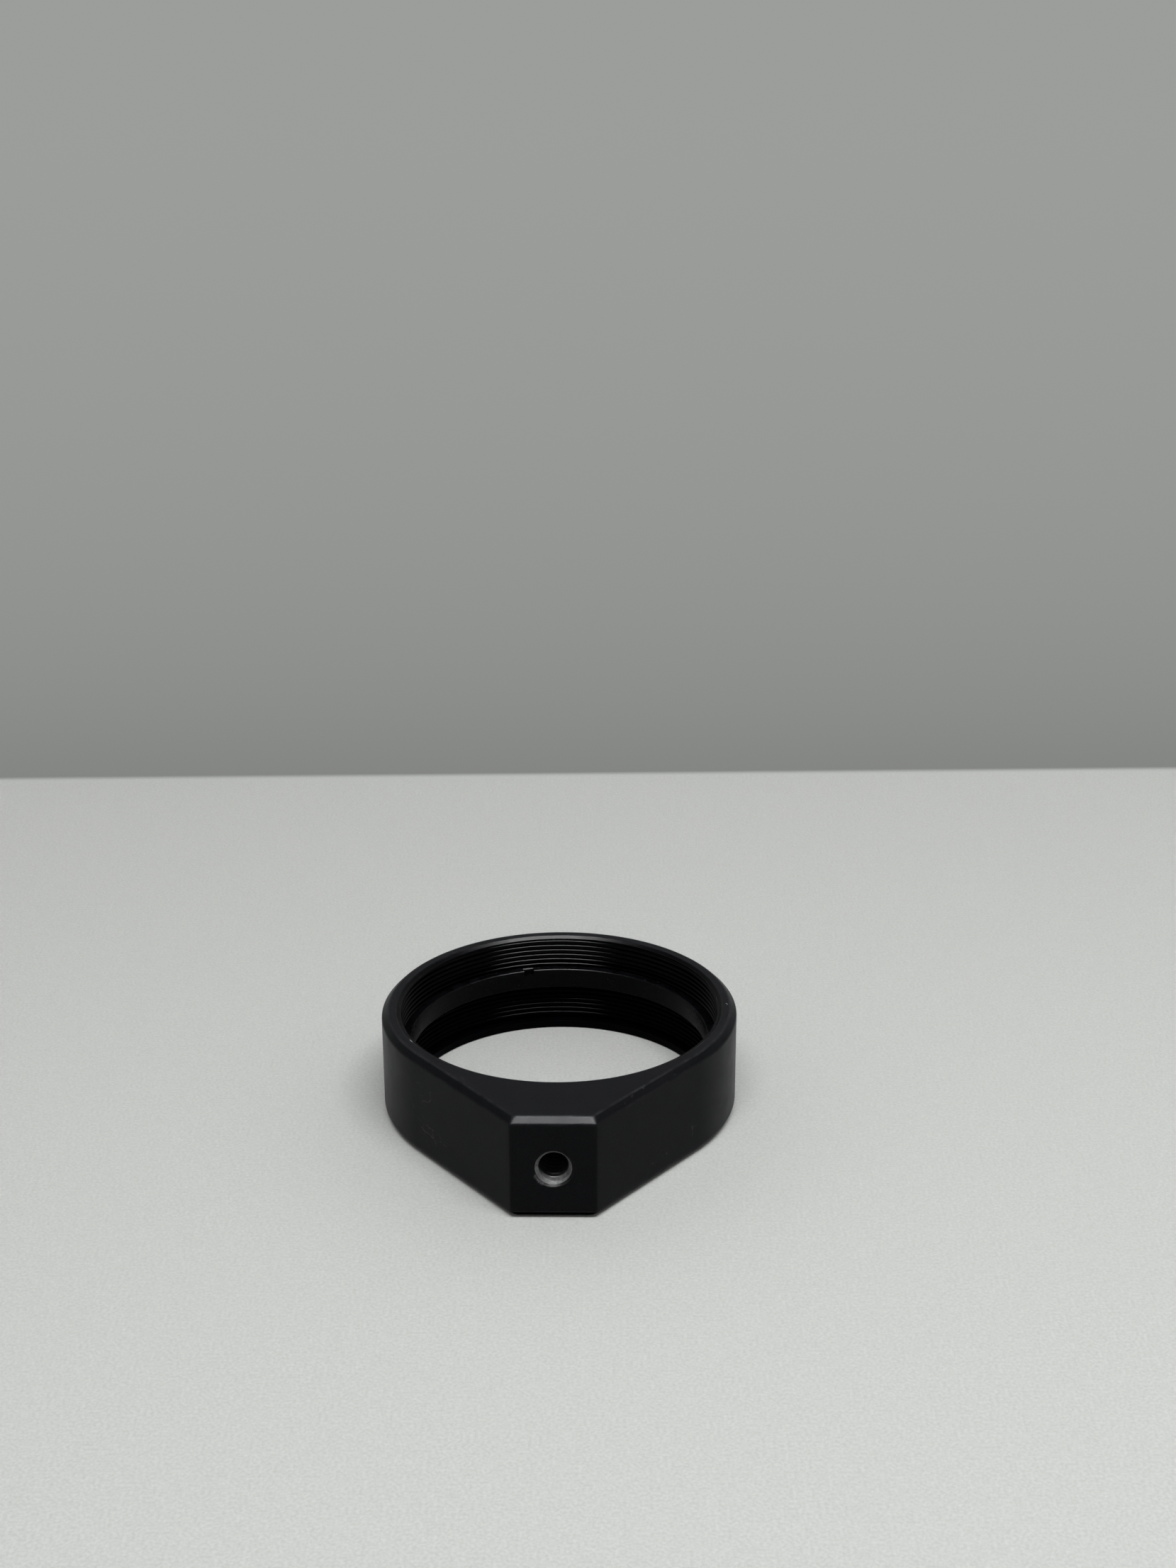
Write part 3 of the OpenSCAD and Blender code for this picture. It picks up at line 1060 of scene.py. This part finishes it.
def anodising(name, finish, black, roughness, ior, wear_reach=0.0, dust=0.0, body=None, hole=None):
    """Black anodised aluminium, rubbed thin on the edges by wear_reach, with dust in its grain.

    With the sizes of the body and its hole, it is the finish of the body's outside, which has
    marks, and of the bore's mouth.
    """
    material, n, shader = new_material(name)
    place = n.add("ShaderNodeTexCoord").outputs["Object"]

    # Dye that took unevenly, and dust in the grain
    shade = n.ramp(n.noise(place, 4.0 * MM, 4.0), 0.3, 0.7, 0.75, 1.35)
    speck = n.ramp(n.noise(place, finish.grain * 1.6, 2.0), 0.60, 0.74, 0.0, 0.7 * dust)
    grit = n.ramp(n.noise(place, finish.grain * 1.4, 2.0, 0.7), 0.35, 0.75, 0.0, 0.55 * dust)
    speck = n.larger(speck, grit)
    if body:
        x, y, z = n.split(place)
        bore = body.mouth_diameter / 2
        outside = n.ramp(n.distance(x, y), bore - 0.01 * MM, bore + 0.09 * MM)
        # Painted shade: the bore's colour is darkened there, and no dust lies in it
        shade = n.times(shade, n.ramp(outside, 0.0, 1.0, 0.4, 1.0))
        speck = n.times(speck, outside)
    # Dust is a little paler than the black under it
    dusty = [c * 2.2 + 0.006 for c in black]
    tinted = n.mix(speck, n.scaled((*black,), shade), dusty)

    # Edge wear, broken up so that it is never an even line. On the ring's edge it also carries a
    # painted highlight.
    patchy = n.ramp(n.noise(place, 1.6 * MM, 4.0, 0.6), 0.32, 0.68, 0.15, 1.0)
    fine = n.ramp(n.noise(place, 0.15 * MM, 3.0), 0.35, 0.65, 0.6, 1.0)
    wear = n.add("ShaderNodeAttribute", attribute_name="wear").outputs["Fac"]
    worn = n.times(n.times(n.times(wear, patchy), fine), wear_reach, clamp=True)
    coloured = n.mix(worn, tinted, finish.rubbed)

    rough = n.ramp(n.noise(place, 2.5 * MM, 3.0), 0.3, 0.7, roughness - 0.03, roughness + 0.04)
    if body:
        coloured = marked_body(n, place, coloured, finish)
        # Bare metal in the post hole, with painted highlights and painted shade
        coloured = n.mix(tap_bare_and_painted_light(n, place, body, hole), coloured, finish.bare)
        # The bore is turned smoother than the blasted outside, and its mouth's bevel less so
        top, smoother = body.thickness, finish.bore_roughness - roughness
        mouth = finish.mouth_roughness - roughness
        inner = n.ramp(z, top - 0.38 * MM, top - 0.34 * MM, smoother, mouth)
        rough = n.plus(rough, n.times(inner, n.minus(1.0, outside)))
    n.put(shader.inputs["Base Color"], coloured)
    n.put(shader.inputs["Roughness"], rough)
    shader.inputs["IOR"].default_value = ior

    grain = n.noise(place, finish.grain, 3.0, 0.6)
    bump = [("Strength", 0.22), ("Distance", 0.02 * MM), ("Height", grain)]
    n.put(shader.inputs["Normal"], n.add("ShaderNodeBump", bump).outputs[0])
    return material


def marked_body(n, place, coloured, finish):
    """The body's colour with its scuffs and its nicks. The scuffs' lines sway and break up."""
    sway = [("Vector", place), ("Scale", 1.0 / (0.5 * MM)), ("Detail", 3.0)]
    sway = n.add("ShaderNodeTexNoise", sway).outputs["Color"]
    sway = n.vector("SUBTRACT", sway, (0.5, 0.5, 0.5))
    swayed = n.vector("ADD", place, n.vector("MULTIPLY", sway, (0.45 * MM,) * 3))
    broken = n.ramp(n.noise(place, 0.20 * MM, 3.0, 0.6), 0.40, 0.58, 0.15, 1.0)
    scuffs = n.times(marks_mask(n, swayed, SCUFFS), broken)
    coloured = n.mix(scuffs, coloured, finish.scuffed)
    return n.mix(marks_mask(n, place, NICKS), coloured, NICKED)


def tap_bare_and_painted_light(n, place, body, hole):
    """How bare the post hole's metal is, with its painted highlights and shade, from 0 to 1.

    The tap left a dull rim where it went in. The crests on the hole's floor near its mouth are
    a painted highlight, and they and the floor's flanks fade with depth as painted shade. The
    lower part of the countersink is rubbed too.
    """
    x, y, z = n.split(place)
    down = n.minus(body.thickness / 2, z)
    depth = n.plus(y, body.foot_reach)
    radius = n.larger(n.distance(x, down), MM)
    floorward = n.over(down, radius, clamp=True)
    tapped, mouth = hole.major_diameter / 2, hole.mouth_diameter / 2
    soft = 0.02 * MM

    turns = n.minus(n.over(depth, hole.pitch), n.over(n.math("ARCTAN2", down, x), TURN))
    phase = n.math("FRACT", n.plus(turns, 0.5 - hole.start))
    off_crest = n.math("ABSOLUTE", n.minus(phase, 0.5))
    crest = n.ramp(off_crest, 0.07, 0.18, 1.0, 0.0)
    crest = n.times(crest, n.ramp(depth, 0.60 * MM, 0.95 * MM, 0.45, 1.0))
    # Painted highlight: the crests on the floor, which faces the light, are painted bright
    bright = n.times(n.math("POWER", floorward, 14.0), crest)
    # Painted shade: deeper in, where the light no longer reaches, the crests fade
    bright = n.times(bright, n.ramp(depth, 1.4 * MM, 2.3 * MM, 1.0, 0.10))
    # Painted highlight and shade: the floor's flanks are paler near the mouth and fade with depth
    flanks = n.times(n.ramp(floorward, 0.2, 0.9), n.ramp(depth, MM, 2 * MM, 0.30, 0.02))
    rim = n.ramp(depth, 0.95 * MM, 1.10 * MM, 0.22, 0.0)
    rim = n.times(rim, n.ramp(floorward, 0.3, 1.0, 1.0, 0.35))
    cut = n.larger(n.larger(bright, flanks), rim)
    inside = n.ramp(radius, tapped, tapped + soft, 1.0, 0.0)
    sunk = n.ramp(floorward, 0.45, 0.85, 0.0, 0.025)
    bare = n.larger(n.times(cut, inside), sunk)
    bare = n.times(bare, n.ramp(depth, 0.0, soft))
    bare = n.times(bare, n.ramp(depth, 7 * MM, 8 * MM, 1.0, 0.0))
    bare = n.times(bare, n.ramp(radius, mouth, mouth + soft, 1.0, 0.0))
    return n.times(bare, n.ramp(n.noise(place, 0.35 * MM, 4.0, 0.6), 0.30, 0.62, 0.50, 1.0))


def table_material(studio):
    """A pale table top that takes the mount's shadow, and the grey behind its back edge."""
    material, n, shader = new_material("TableAndBackdrop")
    place = n.add("ShaderNodeTexCoord").outputs["Object"]
    coarse = n.ramp(n.noise(place, 1.5 * MM), 0.3, 0.7, -0.012, 0.012)
    fine = n.ramp(n.noise(place, 0.35 * MM), 0.3, 0.7, -0.075, 0.075)
    # Painted light: the table's colour is a little brighter to the right, where more light falls
    painted_falloff = n.ramp(n.split(place)[0], -150 * MM, 150 * MM, 0.917, 0.997)
    speckle_and_painted_falloff = n.plus(n.plus(coarse, fine), painted_falloff)
    n.put(shader.inputs["Base Color"], n.scaled((*studio.table_colour,), speckle_and_painted_falloff))
    shader.inputs["Roughness"].default_value = 0.8
    shader.inputs["Specular IOR Level"].default_value = 0.1

    # The grey is darkest at the table's edge
    turn = studio.table_back_turn
    across = n.vector("DOT_PRODUCT", place, (-math.sin(turn), math.cos(turn), 0.0))
    edge = studio.table_back
    beyond = n.ramp(across, edge - 1.6 * MM, edge + 1.6 * MM, smooth=True)
    nearness = n.over(edge, n.larger(across, edge))
    grey = n.mix(nearness, studio.backdrop_far_colour, studio.backdrop_near_colour)
    shown = n.mix(beyond, studio.far_table_colour, grey)

    # Far off, what shows keeps its own brightness however little light gets there
    glow = n.add("ShaderNodeEmission", [("Color", shown)]).outputs[0]
    ray = n.add("ShaderNodeLightPath").outputs
    seen = n.larger(ray["Is Camera Ray"], ray["Is Glossy Ray"])
    seen = n.larger(seen, ray["Is Transmission Ray"])
    far = n.ramp(n.vector("LENGTH", place), 160 * MM, 500 * MM, smooth=True)
    share_shown = n.times(seen, n.larger(far, beyond))
    parts = [(0, share_shown), (1, shader.outputs[0]), (2, glow)]
    surface = n.add("ShaderNodeMixShader", parts).outputs[0]
    n.put(n.tree.nodes["Material Output"].inputs["Surface"], surface)
    return material


def make_stage(studio):
    """Table and backdrop, in one sheet that curves up behind and all round."""
    # Just clear of the mount's back face
    low = CAD_LOW.z - 0.02 * MM
    flat, bend = studio.sweep_radius, 300 * MM
    flat_rows, bend_rows, count = 12, 8, 96
    section = [(flat * k / flat_rows, low) for k in range(1, flat_rows + 1)]
    for k in range(1, bend_rows + 1):
        turn = math.pi / 2 * k / bend_rows
        section.append((flat + bend * math.sin(turn), low + bend * (1 - math.cos(turn))))
    section.append((flat + bend, low + studio.sweep_height))
    points = [(0.0, 0.0, low)]
    for c in range(count):
        turn = TURN * c / count
        points += [(r * math.cos(turn), r * math.sin(turn), z) for r, z in section]
    rows = len(section)
    faces = []
    for c in range(count):
        here, after = 1 + c * rows, 1 + (c + 1) % count * rows
        faces.append((0, here, after))
        faces += [(here + r, here + r + 1, after + r + 1, after + r) for r in range(rows - 1)]
    mesh = bpy.data.meshes.new("Table")
    mesh.from_pydata(points, [], faces)
    mesh.shade_smooth()
    table = bpy.data.objects.new("Table", mesh)
    bpy.context.scene.collection.objects.link(table)

    mesh.materials.append(table_material(studio))


def mirrored_box(n, direction, upward, studio):
    """1 where a direction from the mount meets the soft box, 0 beside it, with soft edges."""
    place, turn = Vector(studio.lamp_place), studio.lamp_turn
    met = n.scaled(direction, n.over(place.z, n.larger(upward, 0.05)))
    offset = n.vector("SUBTRACT", met, (*place,))
    box = n.ramp(upward, 0.05, 0.10)
    sides = (
        ((math.cos(turn), math.sin(turn), 0.0), studio.lamp_width / 2, 0.25),
        ((-math.sin(turn), math.cos(turn), 0.0), studio.lamp_depth / 2, 0.40),
    )
    for side, half, soft in sides:
        away = n.math("ABSOLUTE", n.vector("DOT_PRODUCT", offset, side))
        edge = n.ramp(away, half * (1 - soft), half * (1 + soft), 1.0, 0.0, smooth=True)
        box = n.times(box, edge)
    return box


def make_lights(studio):
    """A long soft box above the front, in a room that is brightest low down at the back."""
    light = bpy.data.lights.new("SoftBox", "AREA")
    light.shape = "RECTANGLE"
    light.size, light.size_y = studio.lamp_width, studio.lamp_depth
    light.energy = studio.lamp_radiance * math.pi * studio.lamp_width * studio.lamp_depth
    lamp = bpy.data.objects.new("SoftBox", light)
    lamp.location = studio.lamp_place
    lamp.rotation_euler.z = studio.lamp_turn
    lamp.visible_glossy = False
    bpy.context.scene.collection.objects.link(lamp)

    world = bpy.data.worlds.new("Room")
    world.use_nodes = True
    world.node_tree.nodes.clear()
    n = Nodes(world.node_tree)
    direction = n.add("ShaderNodeTexCoord").outputs["Generated"]
    _, y, z = n.split(direction)
    # The back is a little to the right of +Y
    backward = n.vector("DOT_PRODUCT", direction, (0.18, 0.98, 0.0))
    room = n.times(backward, studio.back_radiance)
    room = n.minus(room, n.times(z, studio.overhead_loss))
    room = n.larger(n.plus(room, studio.wall_radiance), 0.05)

    # Mirrored in satin black, the soft box is a bright patch. The room shows low down, and most
    # at the back.
    low_down = n.times(n.ramp(y, 0.0, 0.5, 0.35, 1.0), n.ramp(z, 0.70, 0.95, 1.0, 0.1))
    box = n.times(mirrored_box(n, direction, z, studio), studio.gloss_radiance)
    seen = n.plus(n.times(low_down, studio.mirrored_room), box)
    mirrored = n.add("ShaderNodeLightPath").outputs["Is Glossy Ray"]
    strength = n.plus(room, n.times(mirrored, n.minus(seen, room)))
    white = (1.0, 1.0, 1.0, 1.0)
    background = n.add("ShaderNodeBackground", [("Color", white), ("Strength", strength)])
    n.add("ShaderNodeOutputWorld", [("Surface", background.outputs[0])])
    bpy.context.scene.world = world


def make_camera(studio):
    """The camera, a little above the mount and in front of its foot."""
    data = bpy.data.cameras.new("Camera")
    data.lens = studio.camera_lens
    data.sensor_width = 36.0
    data.clip_start, data.clip_end = 0.01, 10.0
    camera = bpy.data.objects.new("Camera", data)
    camera.location = studio.camera_place
    camera.rotation_euler = studio.camera_turn
    bpy.context.scene.collection.objects.link(camera)
    bpy.context.scene.camera = camera


# Add-on -------------------------------------------------------------------------------------------


class LENSMOUNT_OT_mount_body(Operator):
    """Build the machined body with its threads and its finish"""

    bl_idname = "lens_mount.mount_body"
    bl_label = "Mount Body"

    def execute(self, context):
        settings = context.scene.lens_mount
        finish = settings.finish
        black, sizes, hole = finish.body_black, settings.body, settings.hole
        material = anodising(
            "BodyAnodising", finish, black, finish.outer_roughness, finish.body_ior,
            wear_reach=0.45, dust=1.0, body=sizes, hole=hole,
        )
        # Painted shade: a copy of the finish that mirrors less, for deep in the bore
        deep = anodising(
            "BodyDeepBoreShaded", finish, black, finish.bore_roughness, finish.deep_shade_ior, wear_reach=0.2
        )
        # Painted shade: a copy of the finish that does not mirror, for the bevel round the back
        # face
        underside = anodising(
            "BodyUndersideShaded", finish, black, finish.underside_roughness, finish.underside_shade_ior
        )
        body = make_body(sizes, settings.thread, hole, material, deep, underside)
        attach(body, "mount")
        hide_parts("mount_body")
        return {"FINISHED"}


class LENSMOUNT_OT_retaining_ring(Operator):
    """Build the threaded retaining ring with its slots and its finish"""

    bl_idname = "lens_mount.retaining_ring"
    bl_label = "Retaining Ring"

    def execute(self, context):
        settings = context.scene.lens_mount
        finish = settings.finish
        material = anodising(
            "RingAnodising", finish, finish.ring_black, finish.ring_roughness, finish.ring_ior,
            wear_reach=1.0, dust=0.3,
        )
        ring = make_ring(settings.ring, settings.thread, material)
        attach(ring, "ring")
        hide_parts("retaining_ring")
        return {"FINISHED"}


class LENSMOUNT_OT_stage(Operator):
    """Set up the table, the light and the camera"""

    bl_idname = "lens_mount.stage"
    bl_label = "Table, Light and Camera"

    def execute(self, context):
        studio = context.scene.lens_mount.studio
        make_stage(studio)
        make_lights(studio)
        make_camera(studio)
        context.scene.view_settings.view_transform = "Standard"
        return {"FINISHED"}


class LENSMOUNT_PT_sidebar(Panel):
    """The mount's pieces and sizes in the sidebar"""

    bl_label = "Lens Mount"
    bl_idname = "LENSMOUNT_PT_sidebar"
    bl_space_type = "VIEW_3D"
    bl_region_type = "UI"
    bl_category = "Lens Mount"

    def draw(self, context):
        layout = self.layout
        for operator in OPERATORS:
            layout.operator(operator.bl_idname)
        settings = context.scene.lens_mount
        for part in ("body", "thread", "ring", "hole", "finish", "studio"):
            group = getattr(settings, part)
            box = layout.box()
            box.label(text=settings.bl_rna.properties[part].name)
            for key in group.__annotations__:
                box.prop(group, key)


GROUPS = (BodySizes, BoreThread, RingSizes, PostHole, Finishes, Studio, LensMountSettings)
OPERATORS = (LENSMOUNT_OT_mount_body, LENSMOUNT_OT_retaining_ring, LENSMOUNT_OT_stage)


def register():
    """Make the settings, operators and panel known to Blender."""
    for each in (*GROUPS, *OPERATORS, LENSMOUNT_PT_sidebar):
        bpy.utils.register_class(each)
    bpy.types.Scene.lens_mount = PointerProperty(type=LensMountSettings)


def unregister():
    """Take them away again."""
    del bpy.types.Scene.lens_mount
    for each in reversed((*GROUPS, *OPERATORS, LENSMOUNT_PT_sidebar)):
        bpy.utils.unregister_class(each)


def main():
    """Build every piece."""
    register()
    bpy.ops.lens_mount.stage()
    bpy.ops.lens_mount.mount_body()
    bpy.ops.lens_mount.retaining_ring()


if __name__ == "__main__":
    main()
